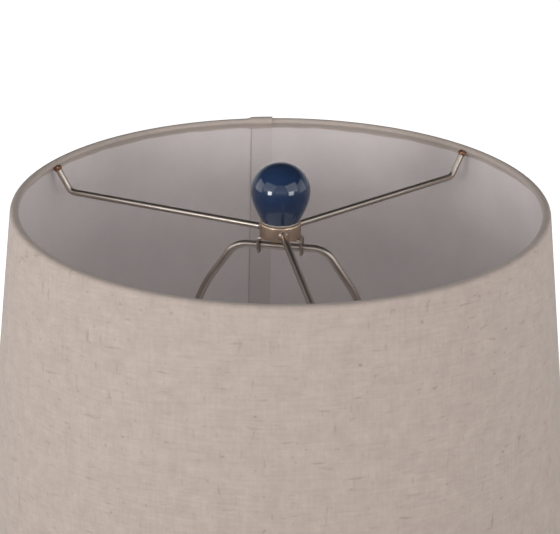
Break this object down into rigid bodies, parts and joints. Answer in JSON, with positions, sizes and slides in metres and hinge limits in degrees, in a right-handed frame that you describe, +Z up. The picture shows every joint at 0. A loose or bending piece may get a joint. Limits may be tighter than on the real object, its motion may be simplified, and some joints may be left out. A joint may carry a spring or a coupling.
{
  "type": "table lamp with shade",
  "caption": "Table lamp with a glazed ceramic body on a metal foot, a removable harp, and a tapered linen shade held down on its spider by a round ceramic finial.",
  "frame": {"origin": "on the table, under the middle of the foot", "axes": "+Z up along the rod; the harp's loop is in the XZ plane, the switch points to -Y and the lead's way out to +Y"},
  "size_m": [0.4064, 0.4064, 0.6764],
  "materials": {
    "linen": "plain natural linen weave",
    "lining": "matt white styrene sheet",
    "glaze": "glossy dark blue glaze",
    "nickel": "satin nickel plate",
    "steel": "zinc plated",
    "brass": "plain",
    "aluminium": "bright",
    "iron": "rough casting",
    "felt": "pressed felt",
    "cork": "pressed cork",
    "black_rubber": "matt",
    "phenolic": "moulded",
    "card": "pressed insulating card",
    "opal": "white coated inside"
  },
  "bodies": {
    "base": {"felt_pad": "felt", "foot_shell": "nickel", "base_weight": "iron", "lead_grommet": "black_rubber", "rod_washer": "steel", "rod_nut": "steel", "cork_ring": "cork", "ceramic_body": "glaze", "centring_bush": "black_rubber", "neck_gasket": "black_rubber", "vase_cap": "nickel", "neck_spacer": "nickel", "check_ring": "nickel", "threaded_rod": "steel", "harp_saddle": "nickel", "saddle_nut": "steel", "socket_cap": "nickel", "socket_shell": "nickel", "socket_liner": "card", "socket_core": "phenolic", "terminal_line": "brass", "terminal_neutral": "brass", "screw_shell": "brass", "centre_contact": "brass"},
    "switch": {"switch_spindle": "brass", "switch_knob": "phenolic"},
    "bulb": {"bulb_tip": "brass", "bulb_insulator": "phenolic", "bulb_cap": "aluminium", "bulb_glass": "opal"},
    "harp": {"harp_bow": "nickel"},
    "ferrule_l": {"ferrule_left": "nickel"},
    "ferrule_r": {"ferrule_right": "nickel"},
    "swivel": {"swivel_saddle": "nickel"},
    "stud": {"finial_stud": "brass"},
    "shade": {"linen_cover": "linen", "shade_lining": "lining", "top_ring": "steel", "bottom_ring": "steel", "top_trim": "linen", "bottom_trim": "linen", "spider_hub": "nickel", "spider_arm_1": "nickel", "spider_arm_2": "nickel", "spider_arm_3": "nickel"},
    "finial": {"finial_knob": "glaze", "finial_bush": "brass"}
  },
  "joints": [
    {"name": "switch_turn", "type": "hinge", "parent": "base", "child": "switch", "pos_m": [0, 0, 0.4281], "axis": [0, -1, 0], "continuous": true},
    {"name": "bulb_turn", "type": "hinge", "parent": "base", "child": "bulb", "pos_m": [0, 0, 0.4421], "axis": [0, 0, 1], "continuous": true},
    {"name": "harp_lift", "type": "slide", "parent": "base", "child": "harp", "axis": [0, 0, 1], "range_m": [0, 0.03]},
    {"name": "ferrule_left_slide", "type": "slide", "parent": "harp", "child": "ferrule_l", "axis": [0, 0, 1], "range_m": [0, 0.008]},
    {"name": "ferrule_right_slide", "type": "slide", "parent": "harp", "child": "ferrule_r", "axis": [0, 0, 1], "range_m": [0, 0.008]},
    {"name": "saddle_tilt", "type": "hinge", "parent": "harp", "child": "swivel", "pos_m": [0, 0, 0.6215], "axis": [1, 0, 0], "range_deg": [-12, 12]},
    {"name": "stud_swivel", "type": "hinge", "parent": "swivel", "child": "stud", "pos_m": [0, 0, 0.6286], "axis": [0, 0, 1], "continuous": true},
    {"name": "shade_lift", "type": "slide", "parent": "stud", "child": "shade", "axis": [0, 0, 1], "range_m": [0, 0.26]},
    {"name": "finial_turn", "type": "hinge", "parent": "shade", "child": "finial", "pos_m": [0, 0, 0.639], "axis": [0, 0, 1], "continuous": true}
  ]
}
